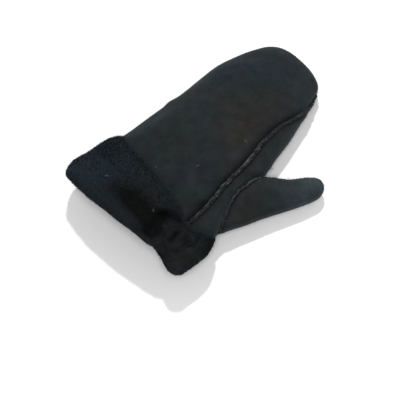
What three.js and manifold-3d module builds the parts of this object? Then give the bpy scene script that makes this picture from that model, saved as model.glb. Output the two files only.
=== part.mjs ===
// A sheepskin mitten for the left hand, lying palm down: suede panels with the wool inside, joined by
// raised overcast seams, a thumb of two pieces, and a deep cuff turned back to show the wool.
// Millimetres. +Z is up, +Y points to the fingertips and +X to the thumb. The origin is on the floor,
// under the middle of the palm.
import * as THREE from "three";
import { mergeVertices } from "three/addons/utils/BufferGeometryUtils.js";
import Module from "manifold-3d";

const wasm = await Module();
wasm.setup();

// Hand
const handLength = 262; // wrist edge of the panels to the fingertips
const handHalfWidth = 61; // across the knuckles
const handHeight = 50; // floor to the back of the hand
const originAlong = 0.397; // where the origin lies, as a share of the hand's length
const wall = 3; // hide with its wool pressed flat
const handSquareness = 2.3; // 2 is an ellipse, more is boxier
const handGirth = 0.45; // height of the widest line, as a share of the section's height

// Thumb
const thumbLength = 138; // buried root to tip
const thumbHalfWidth = 25;
const thumbHeight = 34;
const thumbTurn = 29; // degrees away from the hand's own direction
const thumbSquareness = 2.15;
const thumbGirth = 0.48;

// Cuff
const cuffDepth = 41; // wrist edge of the panels to the turned-back edge of the hide
const cuffSlant = 8; // how much the turned-back edge runs towards the wrist at the thumb side
const foldSlant = 4; // and how much the fold runs towards the fingertips there
const lobeLength = 12; // how much further the turned-back edge hangs over the side of the thumb's base
const lobeDegrees = 4; // where it hangs, round the hand, and how widely
const lobeReach = 24;
const cuffPile = 10; // wool outside, at its thickest
const cuffOverhang = 0.2; // how far the wool stands past the hide's edge, as a share of the pile
const liningPile = 6; // wool inside the mouth
const liningDepth = 30; // how far the cuff's hide reaches inside

// Seams and clearances
const seamWidth = 3;
const seamHeight = 2.6;
const thumbSeamWidth = 2.2;
const thumbSeamHeight = 1.8;
const baseSeamRadius = 1.6;
const gap = 0.3; // between pieces that meet

// How finely the surfaces are divided
const rowSteps = 2;
const backColumns = 18;
const palmColumns = 20;
const thumbColumns = 15;
const leafColumns = 5;
const foldSteps = 6;
const baseSeamSteps = 44;
const baseSeamSides = 6;

const table = (names, rows) =>
  rows.map((row) => Object.fromEntries(names.split(" ").map((name, i) => [name, row[i]])));

// Sections of the hand from the wrist to the fingertips. along is a share of its length, left and right
// of its half width, top and bottom of its height. seam and underSeam are degrees round the section,
// counted from the thumb side over the back of the hand.
const handRows = table("along left right top bottom seam underSeam", [
  [0.0, -1.01, 1.34, 1.04, 0.17, 44, 214],
  [0.093, -0.98, 1.38, 1.04, 0.16, 44, 214],
  [0.186, -0.98, 1.38, 1.03, 0.1, 44, 214],
  [0.267, -1.0, 1.32, 1.01, 0.02, 44, 214],
  [0.364, -1.02, 1.21, 1.0, -0.04, 43, 213],
  [0.481, -1.0, 1.13, 0.97, -0.06, 43, 212],
  [0.597, -1.02, 1.0, 0.93, -0.06, 44, 210],
  [0.694, -1.04, 0.89, 0.89, -0.06, 36, 207],
  [0.783, -1.03, 0.765, 0.84, -0.05, 20, 203],
  [0.86, -0.94, 0.64, 0.77, -0.03, 3, 199],
  [0.922, -0.84, 0.51, 0.69, 0.01, -8, 195],
  [0.965, -0.73, 0.37, 0.6, 0.08, -8, 190],
  [0.99, -0.56, 0.17, 0.49, 0.18, -4, 186],
  [1.0, -0.21, -0.21, 0.32, 0.32, 0, 184],
]);

// Sections of the thumb from its root, buried in the hand, to its tip, in the same way. Its left side
// faces the fingers. leafTop and leafUnder are the edges of the piece on that side, in degrees.
const thumbRows = table("along left right top bottom leafTop leafUnder", [
  [0.0, 0.4, 0.4, 0.65, 0.65, 130, 320],
  [0.05, 0.05, 1.1, 0.9, 0.46, 130, 318],
  [0.16, -0.6, 1.14, 1.0, 0.3, 132, 312],
  [0.31, -1.0, 1.02, 1.03, 0.15, 136, 292],
  [0.46, -1.02, 0.88, 1.01, 0.1, 142, 262],
  [0.585, -0.92, 0.76, 0.96, 0.08, 148, 236],
  [0.755, -0.6, 0.62, 0.86, 0.08, 156, 213],
  [0.865, -0.54, 0.54, 0.79, 0.09, 163, 200],
  [0.94, -0.45, 0.45, 0.72, 0.14, 170, 190],
  [0.982, -0.27, 0.28, 0.62, 0.24, 175, 184],
  [1.0, 0.0, 0.0, 0.43, 0.43, 178, 182],
]);
const thumbRootX = 1.082; // shares of the hand's half width and of its length
const thumbRootY = -0.0775;
const thumbRootAlong = 0.287; // share of the thumb's length that lies behind that point

// Dents in the hand, with their middle and reach as shares of its length and in degrees, and their depth
// as a share of its height.
const handDents = table("along degrees reachAlong reachDegrees depth", [
  [0.85, 125, 0.06, 22, 0.05],
  [0.3, 62, 0.045, 14, 0.07],
  [0.36, 150, 0.08, 16, 0.04],
  [0.52, 92, 0.1, 20, 0.03],
]);

// Hollows and lobes of the cuff's wool: along from the fold to the free edge, depth as a share of the pile.
const cuffDents = table("along degrees reachAlong reachDegrees depth", [
  [0.62, 57, 0.3, 13, 0.55],
  [0.3, 46, 0.22, 7, 0.25],
  [0.0, 33, 0.3, 7, 0.6],
  [0.6, 37, 0.35, 5, -0.3],
  [0.6, 28, 0.3, 4, 0.3],
  [0.3, 12, 0.5, 13, -0.6],
  [0.8, 2, 0.3, 6, 0.3],
  [0.0, 345, 0.3, 8, 0.3],
  [0.55, 95, 0.3, 24, -0.1],
  [0.45, 150, 0.3, 14, 0.12],
]);

// How far the mouth's edge stands out past a straight wrist edge, in degrees round the hand and as a share
// of the cuff's depth. The back of the hand reaches out over the palm's side.
const mouthReaches = table("degrees reachDegrees outward", [
  [112, 48, 0.25],
  [285, 40, -0.27],
]);
const mouthFade = 0.17; // the share of the hand's length over which that dies out

const radians = THREE.MathUtils.degToRad;
const mix = (from, to, share) => from + (to - from) * share;
const bump = (offset, reach) => Math.exp(-((offset / reach) ** 2));
const angleBetween = (a, b) => ((((a - b + 180) % 360) + 360) % 360) - 180;
const signedPower = (value, power) => Math.sign(value) * Math.abs(value) ** power;

// A smooth track through the rows of a table, as a function of the row's number. At a closed end the two
// sides pass through each other, which rounds the tip.
const sides = [["left", "right"], ["top", "bottom"]];
function trackThrough(rows, closedStart) {
  const last = rows.length - 1;
  const beyondTip = (row) => ({
    ...row,
    ...Object.fromEntries(sides.flatMap(([a, b]) => [[a, row[b]], [b, row[a]]])),
  });
  const beforeStart = (first, second) =>
    Object.fromEntries(Object.keys(first).map((key) => [key, 2 * first[key] - second[key]]));
  const start = closedStart ? beyondTip(rows[1]) : beforeStart(rows[0], rows[1]);
  const padded = [start, ...rows, beyondTip(rows[last - 1])];
  return (t) => {
    const i = THREE.MathUtils.clamp(Math.floor(t), 0, last - 1);
    const f = t - i;
    const [a, b, c, d] = padded.slice(i, i + 4);
    const value = (key) => {
      const slope = (c[key] - a[key]) / 2;
      const nextSlope = (d[key] - b[key]) / 2;
      const rise = c[key] - b[key];
      const square = 3 * rise - 2 * slope - nextSlope;
      return b[key] + f * (slope + f * (square + f * (slope + nextSlope - 2 * rise)));
    };
    return Object.fromEntries(Object.keys(b).map((key) => [key, value(key)]));
  };
}

const handTrack = trackThrough(handRows, false);
const thumbTrack = trackThrough(thumbRows, true);
const handTip = handRows.length - 1;
const thumbTip = thumbRows.length - 1;

// Half a section's size, grown by lift or shrunk by it where lift is negative, but never past its middle.
const grown = (half, lift) => (lift >= 0 ? half + lift : half + lift * (1 - Math.exp(half / lift)));

// A point on a section that is round above and flat where it meets the floor: its offset across and its
// height. A lifted point lies outside the section, or inside it by as much.
function sectionPoint(row, halfWidth, fullHeight, girth, squareness, degrees, lift) {
  const angle = radians(degrees);
  const [bottom, top] = [row.bottom * fullHeight, row.top * fullHeight];
  const widest = mix(bottom, top, girth);
  const rise = grown(Math.sin(angle) > 0 ? top - widest : widest - bottom, lift);
  const middle = mix(row.left, row.right, 0.5) * halfWidth;
  const reach = grown(((row.right - row.left) / 2) * halfWidth, lift);
  const height = widest + rise * signedPower(Math.sin(angle), 2 / squareness);
  const floor = Math.min(Math.max(-lift, 0), widest);
  return [middle + reach * signedPower(Math.cos(angle), 2 / squareness), Math.max(height, floor)];
}

function mouthReach(along, degrees) {
  const one = ({ outward, ...at }) => outward * bump(angleBetween(degrees, at.degrees), at.reachDegrees);
  const share = THREE.MathUtils.clamp(along / mouthFade, 0, 1);
  const left = (1 - share) ** 2 * (1 + 2 * share);
  return mouthReaches.reduce((sum, at) => sum + one(at), 0) * cuffDepth * left;
}

function handSurface(t, degrees, lift = 0) {
  const row = handTrack(t);
  const [x, z] = sectionPoint(row, handHalfWidth, handHeight, handGirth, handSquareness, degrees, lift);
  const y = row.along * (handLength + Math.min(lift, gap)) - originAlong * handLength;
  return new THREE.Vector3(x, y - mouthReach(row.along, degrees), z);
}

const thumbForward = new THREE.Vector3(Math.sin(radians(thumbTurn)), Math.cos(radians(thumbTurn)), 0);
const thumbOutward = new THREE.Vector3(Math.cos(radians(thumbTurn)), -Math.sin(radians(thumbTurn)), 0);

function thumbSurface(t, degrees, lift = 0) {
  const row = thumbTrack(t);
  const [across, z] = sectionPoint(
    row, thumbHalfWidth, thumbHeight, thumbGirth, thumbSquareness, degrees, lift,
  );
  return new THREE.Vector3(thumbRootX * handHalfWidth, thumbRootY * handLength, z)
    .addScaledVector(thumbForward, row.along * (thumbLength + lift) - thumbRootAlong * thumbLength)
    .addScaledVector(thumbOutward, across);
}

// The outward normal of a surface, from small steps along it and round it. ends holds the direction at
// each closed end, by its row number.
const stepAlong = 0.02;
const stepRound = 0.5;
const tipFade = 30;
const halvings = 40;
function normalOf(surface, ends, t, degrees) {
  if (ends.has(t)) return ends.get(t).clone();
  const along = surface(t + stepAlong, degrees).sub(surface(t - stepAlong, degrees));
  const round = surface(t, degrees + stepRound).sub(surface(t, degrees - stepRound));
  return along.cross(round).normalize();
}

const handEnds = new Map([[handTip, new THREE.Vector3(0, 1, 0)]]);
const thumbEnds = new Map([[0, thumbForward.clone().negate()], [thumbTip, thumbForward]]);
const handNormal = (t, degrees) => normalOf(handSurface, handEnds, t, degrees);
const thumbNormal = (t, degrees) => normalOf(thumbSurface, thumbEnds, t, degrees);

function dentDepth(dents, along, degrees) {
  const one = (dent) =>
    dent.depth * bump(along - dent.along, dent.reachAlong)
    * bump(angleBetween(degrees, dent.degrees), dent.reachDegrees);
  return dents.reduce((sum, dent) => sum + one(dent), 0);
}

// A point of the hand lifted off its outer face, or sunk into it where lift is negative. The dents die
// out at the very tip.
function handPoint(t, degrees, lift) {
  const { along } = handTrack(t);
  const dent = dentDepth(handDents, along, degrees) * handHeight * (1 - along ** tipFade);
  return handSurface(t, degrees, lift).addScaledVector(handNormal(t, degrees), -dent);
}

const thumbPoint = thumbSurface;

const spread = (from, to, steps) => Array.from({ length: steps + 1 }, (_, i) => mix(from, to, i / steps));

// A closed surface through rings of as many points each. Its ends are closed by a strip from side to
// side, or it runs round in a loop. Points that coincide are merged, as at a tip.
function solidThrough(rings, loop) {
  const count = rings[0].length;
  const at = (i, k) => (i % rings.length) * count + (k % count);
  const triangles = [];
  const quad = (a, b, c, d) => triangles.push(a, b, c, a, c, d);
  for (let i = 0; i < rings.length - (loop ? 0 : 1); i++)
    for (let k = 0; k < count; k++) quad(at(i, k), at(i, k + 1), at(i + 1, k + 1), at(i + 1, k));
  if (!loop)
    for (let k = 0; k < count / 2 - 1; k++) {
      const end = rings.length - 1;
      quad(at(0, k + 1), at(0, k), at(0, count - 1 - k), at(0, count - 2 - k));
      quad(at(end, k), at(end, k + 1), at(end, count - 2 - k), at(end, count - 1 - k));
    }
  const geometry = new THREE.BufferGeometry().setFromPoints(rings.flat());
  geometry.setIndex(triangles);
  return facingOut(withoutSlivers(mergeVertices(geometry, 1e-3)));
}

function withoutSlivers(geometry) {
  const index = geometry.index.array;
  const kept = [];
  for (let i = 0; i < index.length; i += 3) {
    const [a, b, c] = index.subarray(i, i + 3);
    if (a !== b && b !== c && c !== a) kept.push(a, b, c);
  }
  return geometry.setIndex(kept);
}

function facingOut(geometry) {
  const index = geometry.index.array;
  const corner = (i) => new THREE.Vector3().fromBufferAttribute(geometry.attributes.position, index[i]);
  let volume = 0;
  for (let i = 0; i < index.length; i += 3) volume += corner(i).dot(corner(i + 1).cross(corner(i + 2)));
  if (volume < 0) index.reverse();
  return geometry;
}

const manifoldOf = (geometry) =>
  new wasm.Manifold(
    new wasm.Mesh({
      numProp: 3,
      vertProperties: geometry.attributes.position.array,
      triVerts: new Uint32Array(geometry.index.array),
    }),
  );

// The largest body of a manifold, as a geometry.
function geometryOf(manifold) {
  const largest = manifold.decompose().reduce((a, b) => (a.volume() > b.volume() ? a : b));
  const mesh = largest.getMesh();
  const geometry = new THREE.BufferGeometry();
  geometry.setAttribute("position", new THREE.BufferAttribute(mesh.vertProperties, mesh.numProp));
  return geometry.setIndex([...mesh.triVerts]);
}

// A wall between two edges of a surface, given in degrees at each row.
function wallBetween(point, rows, columns, edges) {
  const ring = (t) => {
    const [from, to] = edges(t);
    const angles = spread(from, to, columns);
    const outer = angles.map((degrees) => point(t, degrees, 0));
    const inner = angles.map((degrees) => point(t, degrees, -wall));
    return [...outer, ...inner.reverse()];
  };
  return solidThrough(rows.map(ring), false);
}

// The space inside a surface, grown by lift.
function filling(point, rows, columns, lift) {
  const angles = spread(0, 360, columns).slice(0, -1);
  return manifoldOf(solidThrough(rows.map((t) => angles.map((degrees) => point(t, degrees, lift))), false));
}

const handSteps = spread(0, handTip, handTip * rowSteps);
const thumbSteps = spread(0, thumbTip, thumbTip * rowSteps);
const turn = 360;

const handGrown = filling(handPoint, handSteps, backColumns + palmColumns, gap);
const thumbGrown = filling(thumbPoint, thumbSteps, thumbColumns + leafColumns, gap);
const thumbHollow = filling(thumbPoint, thumbSteps, thumbColumns + leafColumns, -wall);

// The seam opens by the gap because the back panel stands off along the middle of the seam's two sides.
const seamTilt = radians(35);
const standOff = new THREE.Vector3(-Math.sin(seamTilt), 0, Math.cos(seamTilt)).multiplyScalar(gap);

function backPanel() {
  const edges = (t) => [handTrack(t).seam, handTrack(t).underSeam];
  return wallBetween(handPoint, handSteps, backColumns, edges).translate(...standOff.toArray());
}

function palmPanel() {
  const edges = (t) => [handTrack(t).underSeam, handTrack(t).seam + turn];
  return geometryOf(manifoldOf(wallBetween(handPoint, handSteps, palmColumns, edges)).subtract(thumbHollow));
}

// The degrees that a clearance takes up on the thumb's section at a row.
function thumbDegrees(t, length) {
  const row = thumbTrack(t);
  const radius = Math.max(((row.top - row.bottom) / 2) * thumbHeight, wall / 2);
  return THREE.MathUtils.radToDeg(length / radius);
}

function thumbOuter() {
  const edges = (t) => {
    const play = thumbDegrees(t, 2 * gap);
    return [thumbTrack(t).leafUnder + play, thumbTrack(t).leafTop + turn - play];
  };
  return geometryOf(manifoldOf(wallBetween(thumbPoint, thumbSteps, thumbColumns, edges)).subtract(handGrown));
}

function thumbInner() {
  const rows = thumbSteps.slice(0, -2);
  const edges = (t) => [thumbTrack(t).leafTop, thumbTrack(t).leafUnder];
  return geometryOf(manifoldOf(wallBetween(thumbPoint, rows, leafColumns, edges)).subtract(handGrown));
}

// Where a yes-or-no test changes from yes to no, by halving.
function changeBetween(yes, no, test) {
  for (let i = 0; i < halvings; i++) {
    const middle = (yes + no) / 2;
    if (test(middle)) yes = middle;
    else no = middle;
  }
  return no;
}

const handRowAt = (y) =>
  changeBetween(0, handTip, (t) => (handTrack(t).along - originAlong) * handLength < y);
const thumbRowAt = (along) => changeBetween(0, thumbTip, (t) => thumbTrack(t).along < along);

// The row where the turned-back edge of the cuff's hide lies, plus a distance towards the fingertips.
function cuffEdgeRow(degrees, beyond) {
  const lobe = lobeLength * bump(angleBetween(degrees, lobeDegrees), lobeReach);
  const reach = cuffDepth - cuffSlant * Math.cos(radians(degrees)) + lobe + beyond;
  return handRowAt(-originAlong * handLength + reach);
}

// The cuff: a strip of hide and wool that lines the mouth, folds over the wrist edge and lies back over
// the hand. Its section is drawn at each angle as rows and lifts off the hand's outer face.
function woolCuff() {
  const liningRow = handRowAt(-originAlong * handLength + liningDepth);
  const clear = 2 * gap;
  const pileAt = (along, degrees) => {
    const edge = 1 - 0.35 * Math.max(0, (along - 0.75) / 0.25) ** 2;
    const side = 1 - 0.3 * bump(angleBetween(degrees, 180), 35);
    return cuffPile * edge * side * (1 - dentDepth(cuffDents, along, degrees));
  };
  const ring = (degrees) => {
    const free = cuffEdgeRow(degrees, 0);
    const outside = spread(0, free, 5);
    const inside = spread(0, liningRow, 2);
    const pile = outside.map((t) => clear + pileAt(mix(0.12, 1, t / free), degrees));
    const lining = -wall - clear - liningPile;
    const foldMiddle = (pile[0] + lining) / 2;
    const foldReach = (pile[0] - lining) / 2;
    const foldOut = foldReach - foldSlant * Math.cos(radians(degrees));
    const fold = spread(0, 180, foldSteps).slice(1, -1).map((a) =>
      handPoint(0, degrees, foldMiddle + foldReach * Math.cos(radians(a)))
        .add(new THREE.Vector3(0, -foldOut * Math.sin(radians(a)), 0)));
    const channel = new THREE.Vector3(0, -clear, 0);
    const overhang = new THREE.Vector3(0, cuffPile * cuffOverhang, 0);
    return [
      ...outside.toReversed().map((t, i) => handPoint(t, degrees, pile[5 - i])),
      ...fold,
      ...inside.map((t) => handPoint(t, degrees, lining)),
      handPoint(liningRow, degrees, -wall - clear),
      handPoint(0, degrees, -wall - clear).add(channel),
      handPoint(0, degrees, clear).add(channel),
      ...outside.slice(1).map((t) => handPoint(t, degrees, clear)),
      handPoint(free, degrees, pile[5] * 0.55).add(overhang),
    ];
  };
  const { seam, underSeam } = handRows[0];
  const angles = [
    ...spread(seam, underSeam, backColumns).slice(0, -1),
    ...spread(underSeam, seam + turn, palmColumns).slice(0, -1),
  ];
  return solidThrough(angles.map(ring), true);
}

// A raised seam along a path of points, each with its outward normal, with a half-round section.
function raisedSeam(path, width, height, loop) {
  const outline = [[-0.5, 0], [-0.5, 0.5], [-0.28, 1], [0.28, 1], [0.5, 0.5], [0.5, 0]];
  const rings = path.map(({ point, normal }, i) => {
    const before = path[loop ? (i + path.length - 1) % path.length : Math.max(i - 1, 0)].point;
    const after = path[loop ? (i + 1) % path.length : Math.min(i + 1, path.length - 1)].point;
    const side = after.clone().sub(before).cross(normal).normalize();
    return outline.map(([across, up]) =>
      point.clone().addScaledVector(side, across * width).addScaledVector(normal, up * height));
  });
  return solidThrough(rings, loop);
}

function handSeam() {
  const on = (t, degrees) => ({
    point: handPoint(t, degrees, 2 * gap),
    normal: handNormal(t, degrees),
  });
  const side = (key) => {
    const first = cuffEdgeRow(handRows[0][key], cuffPile * cuffOverhang + seamWidth);
    return [first, ...handSteps.filter((t) => t > first + 0.1)].map((t) => on(t, handTrack(t)[key]));
  };
  const path = [...side("seam"), ...side("underSeam").toReversed().slice(1)];
  return raisedSeam(path, seamWidth, seamHeight, false);
}

// How far inside the hand a point lies: under 1 is inside its outer face.
function handDepth(point) {
  const row = handTrack(handRowAt(point.y));
  const [low, high] = [row.left * handHalfWidth, row.right * handHalfWidth];
  const [bottom, top] = [row.bottom * handHeight, row.top * handHeight];
  const widest = mix(bottom, top, handGirth);
  const across = (point.x - mix(low, high, 0.5)) / ((high - low) / 2);
  const up = (point.z - widest) / (point.z > widest ? top - widest : widest - bottom);
  return Math.abs(across) ** handSquareness + Math.abs(up) ** handSquareness;
}

// The direction away from the hand's middle line at a point, square to its length.
function handOutward(point) {
  const row = handTrack(handRowAt(point.y));
  const up = point.z - mix(row.bottom, row.top, handGirth) * handHeight;
  const out = point.x - mix(row.left, row.right, 0.5) * handHalfWidth;
  return new THREE.Vector3(out / handHalfWidth ** 2, 0, up / (handHeight / 2) ** 2).normalize();
}

// The row where the thumb's outer face leaves the hand, along a line given in degrees at each row.
const thumbExit = (line) =>
  changeBetween(1, thumbTip - 1, (t) => handDepth(thumbSurface(t, line(t))) < 1);

const clearOfPanels = (geometry) =>
  geometryOf(manifoldOf(geometry).subtract(handGrown).subtract(thumbGrown));

// The seam at the thumb's base is a cord in the corner between the hand and the thumb.
function thumbBaseSeam() {
  const path = spread(0, turn, baseSeamSteps).slice(0, -1).map((degrees) => {
    const t = thumbExit(() => degrees);
    const point = thumbSurface(t, degrees);
    const onHand = handOutward(point);
    const corner = thumbNormal(t, degrees).add(onHand).normalize();
    return point.addScaledVector(corner, baseSeamRadius);
  });
  const rings = path.map((middle, i) => {
    const before = path[(i + path.length - 1) % path.length];
    const after = path[(i + 1) % path.length];
    const forward = after.clone().sub(before).normalize();
    const side = handOutward(middle).cross(forward).normalize();
    const up = forward.clone().cross(side);
    return spread(0, turn, baseSeamSides).slice(0, -1).map((a) =>
      middle.clone()
        .addScaledVector(side, baseSeamRadius * Math.cos(radians(a)))
        .addScaledVector(up, baseSeamRadius * Math.sin(radians(a))));
  });
  return clearOfPanels(solidThrough(rings, true));
}

// The seam along the thumb, over its tip from the crotch to the palm.
function thumbEdgeSeam() {
  const beyondBase = 3 * baseSeamRadius + 2 * gap;
  const side = (key) => {
    const exit = thumbExit((t) => thumbTrack(t)[key]);
    const first = thumbRowAt(thumbTrack(exit).along + beyondBase / thumbLength);
    return [first, ...thumbSteps.filter((t) => t > first + 0.1)].map((t) => ({
      point: thumbPoint(t, thumbTrack(t)[key], gap),
      normal: thumbNormal(t, thumbTrack(t)[key]),
    }));
  };
  const path = [...side("leafTop"), ...side("leafUnder").toReversed().slice(1)];
  return clearOfPanels(raisedSeam(path, thumbSeamWidth, thumbSeamHeight, false));
}

const suede = (colour) => new THREE.MeshStandardMaterial({ color: colour, roughness: 0.95, metalness: 0 });
const suedeBlack = suede(0x222528);
const woolBlack = suede(0x15191d);
const seamGrey = suede(0x3a3e40);

const mitten = new THREE.Group();
mitten.name = "mitten";
function addPiece(name, geometry, material) {
  const mesh = new THREE.Mesh(geometry, material);
  mesh.name = name;
  mitten.add(mesh);
}

addPiece("back_panel", backPanel(), suedeBlack);
addPiece("palm_panel", palmPanel(), suedeBlack);
addPiece("thumb_outer", thumbOuter(), suedeBlack);
addPiece("thumb_inner", thumbInner(), suedeBlack);
addPiece("wool_cuff", woolCuff(), woolBlack);
addPiece("hand_seam", handSeam(), seamGrey);
addPiece("thumb_base_seam", thumbBaseSeam(), seamGrey);
addPiece("thumb_edge_seam", thumbEdgeSeam(), seamGrey);

export default mitten;
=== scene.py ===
import itertools
import math

import bpy
import numpy as np
from mathutils import Matrix, Vector, kdtree


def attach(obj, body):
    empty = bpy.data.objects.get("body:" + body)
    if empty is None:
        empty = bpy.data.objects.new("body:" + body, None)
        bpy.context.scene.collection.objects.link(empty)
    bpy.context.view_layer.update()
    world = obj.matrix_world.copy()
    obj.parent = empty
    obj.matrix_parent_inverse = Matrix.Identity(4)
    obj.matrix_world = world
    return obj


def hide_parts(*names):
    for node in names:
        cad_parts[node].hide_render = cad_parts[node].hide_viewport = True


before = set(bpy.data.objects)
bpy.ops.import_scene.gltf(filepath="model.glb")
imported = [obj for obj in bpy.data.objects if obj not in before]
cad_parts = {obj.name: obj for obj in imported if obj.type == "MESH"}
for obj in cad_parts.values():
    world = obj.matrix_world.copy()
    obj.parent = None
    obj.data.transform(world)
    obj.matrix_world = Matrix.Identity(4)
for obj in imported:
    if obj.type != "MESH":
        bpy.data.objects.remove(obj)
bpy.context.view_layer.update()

MM = 0.001  # sizes are in millimetres here, and meshes are made in metres

# The mitten's driving sizes, as in its solids but for the thumb, which is 4.5 mm longer here
HAND_LENGTH = 262.0
HAND_HALF_WIDTH = 61.0
HAND_HEIGHT = 50.0
ORIGIN_ALONG = 0.397
WALL = 3.0
HAND_SQUARENESS = 2.3
HAND_GIRTH = 0.45
THUMB_LENGTH = 142.5
THUMB_HALF_WIDTH = 25.0
THUMB_HEIGHT = 34.0
THUMB_TURN = 29.0
THUMB_SQUARENESS = 2.15
THUMB_GIRTH = 0.48
THUMB_ROOT_X = 1.082
THUMB_ROOT_Y = -0.0775
THUMB_ROOT_ALONG = 0.287
CUFF_DEPTH = 41.0
CUFF_SLANT = 8.0
FOLD_SLANT = 4.0
LOBE_LENGTH = 12.0
LOBE_DEGREES = 4.0
LOBE_REACH = 24.0
SEAM_DRAWN = 5.0
SEAM_DEGREES = 46.0
SEAM_REACH = 16.0
CUFF_PILE = 10.0
CUFF_OVERHANG = 0.2
LINING_PILE = 6.0
LINING_DEPTH = 30.0
GAP = 0.3

# Sections from wrist to fingertips: along, left, right, top, bottom, seam, underSeam. The seam lies up to
# 5 degrees further over the back of the hand than in the solids.
HAND_ROWS = [
    [0.0, -1.01, 1.34, 1.04, 0.17, 45, 214],
    [0.093, -0.98, 1.38, 1.04, 0.16, 45, 214],
    [0.186, -0.98, 1.38, 1.03, 0.1, 46.5, 214],
    [0.267, -1.0, 1.32, 1.01, 0.02, 46.5, 214],
    [0.364, -1.02, 1.21, 1.0, -0.04, 46, 213],
    [0.481, -1.0, 1.13, 0.97, -0.06, 45.5, 212],
    [0.597, -1.02, 1.0, 0.93, -0.06, 46, 210],
    [0.694, -1.04, 0.89, 0.89, -0.06, 40, 207],
    [0.783, -1.03, 0.765, 0.84, -0.05, 25, 203],
    [0.86, -0.94, 0.64, 0.77, -0.03, 6, 199],
    [0.922, -0.84, 0.51, 0.69, 0.01, -6, 195],
    [0.965, -0.73, 0.37, 0.6, 0.08, -8, 190],
    [0.99, -0.56, 0.17, 0.49, 0.18, -4, 186],
    [1.0, -0.21, -0.21, 0.32, 0.32, 0, 184],
]
# Sections from the thumb's root to its tip: along, left, right, top, bottom, leafTop, leafUnder. The tip is
# a little fuller towards the fingers than in the solids.
THUMB_ROWS = [
    [0.0, 0.4, 0.4, 0.65, 0.65, 130, 320],
    [0.05, 0.05, 1.1, 0.9, 0.46, 130, 318],
    [0.16, -0.6, 1.14, 1.0, 0.3, 132, 312],
    [0.31, -1.0, 1.02, 1.03, 0.15, 136, 292],
    [0.46, -1.02, 0.88, 1.01, 0.1, 142, 262],
    [0.585, -0.92, 0.76, 0.96, 0.08, 148, 236],
    [0.755, -0.6, 0.62, 0.86, 0.08, 156, 213],
    [0.865, -0.56, 0.5, 0.79, 0.09, 163, 200],
    [0.94, -0.51, 0.38, 0.72, 0.14, 170, 190],
    [0.982, -0.38, 0.17, 0.62, 0.24, 175, 184],
    [1.0, -0.1, -0.1, 0.43, 0.43, 178, 182],
]
ALONG, LEFT, RIGHT, TOP, BOTTOM, EDGE, UNDER_EDGE = range(7)

# How far the mouth's edge stands out past a straight wrist edge: degrees, reach, share of the cuff's depth
MOUTH_REACHES = [
    [112, 48, 0.25],
    [285, 40, -0.27],
]
MOUTH_FADE = 0.17

# Dents in the hand: along, degrees, reach along, reach in degrees, depth as a share of the height.
# The first four are those of the solids, and the rest are finer.
HAND_DENTS = [
    [0.85, 125, 0.06, 22, 0.05],
    [0.3, 62, 0.045, 14, 0.07],
    [0.36, 150, 0.08, 16, 0.04],
    [0.52, 92, 0.1, 20, 0.03],
    [0.70, 118, 0.05, 16, -0.02],
    [0.44, 120, 0.05, 14, -0.015],
    [0.60, 66, 0.06, 10, 0.02],
    [0.90, 70, 0.04, 24, 0.02],
    [0.205, 57, 0.03, 7, 0.04],
    [0.95, 18, 0.035, 26, -0.06],
    [0.455, 172, 0.03, 22, -0.03],
    [0.79, 165, 0.05, 28, 0.03],
]
# Hollows and lobes of the cuff's wool: along from fold to free edge, degrees, reaches, share of the pile
CUFF_DENTS = [
    [0.62, 57, 0.3, 13, 0.55],
    [0.3, 46, 0.22, 7, 0.25],
    [0.0, 33, 0.3, 7, 0.6],
    [0.6, 37, 0.35, 5, -0.3],
    [0.6, 28, 0.3, 4, 0.3],
    [0.3, 12, 0.5, 13, -0.6],
    [0.8, 2, 0.3, 6, 0.3],
    [0.0, 345, 0.3, 8, 0.3],
    [0.55, 95, 0.3, 24, -0.1],
    [0.45, 150, 0.3, 14, 0.12],
]


def clamp(value, low, high):
    return np.minimum(np.maximum(value, low), high)


def bump(offset, reach):
    return np.exp(-((offset / reach) ** 2))


def angle_between(a, b):
    return (a - b + 180.0) % 360.0 - 180.0


def signed_power(value, power):
    return np.sign(value) * np.abs(value) ** power


def unit(vectors):
    length = np.linalg.norm(vectors, axis=-1, keepdims=True)
    return vectors / np.maximum(length, 1e-9)


def lattice(cells, seed):
    """A number in -1..1 for each whole cell."""
    h = cells[..., 0] * 73856093 ^ cells[..., 1] * 19349663 ^ cells[..., 2] * 83492791
    h = (h ^ (seed * 2654435761)) & 0xFFFFFFFF
    h = ((h ^ (h >> 15)) * 2246822519) & 0xFFFFFFFF
    h = ((h ^ (h >> 13)) * 3266489917) & 0xFFFFFFFF
    return (h ^ (h >> 16)) / 2147483648.0 - 1.0


def soft_noise(points, cell, seed):
    """Smooth noise in about -1..1 through cells of a size."""
    scaled = np.asarray(points, float) / cell + 1000.0
    low = np.floor(scaled).astype(np.int64)
    f = scaled - low
    f = f * f * (3 - 2 * f)
    total = np.zeros(scaled.shape[:-1])
    for corner in itertools.product((0, 1), repeat=3):
        weight = np.prod(np.where(np.array(corner) == 1, f, 1 - f), axis=-1)
        total += weight * lattice(low + np.array(corner), seed)
    return total


def layered(points, layers, start=0.0):
    """A start and the sum of noises of (height, cell, seed)."""
    return sum((height * soft_noise(points, cell, seed) for height, cell, seed in layers), start)


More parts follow.
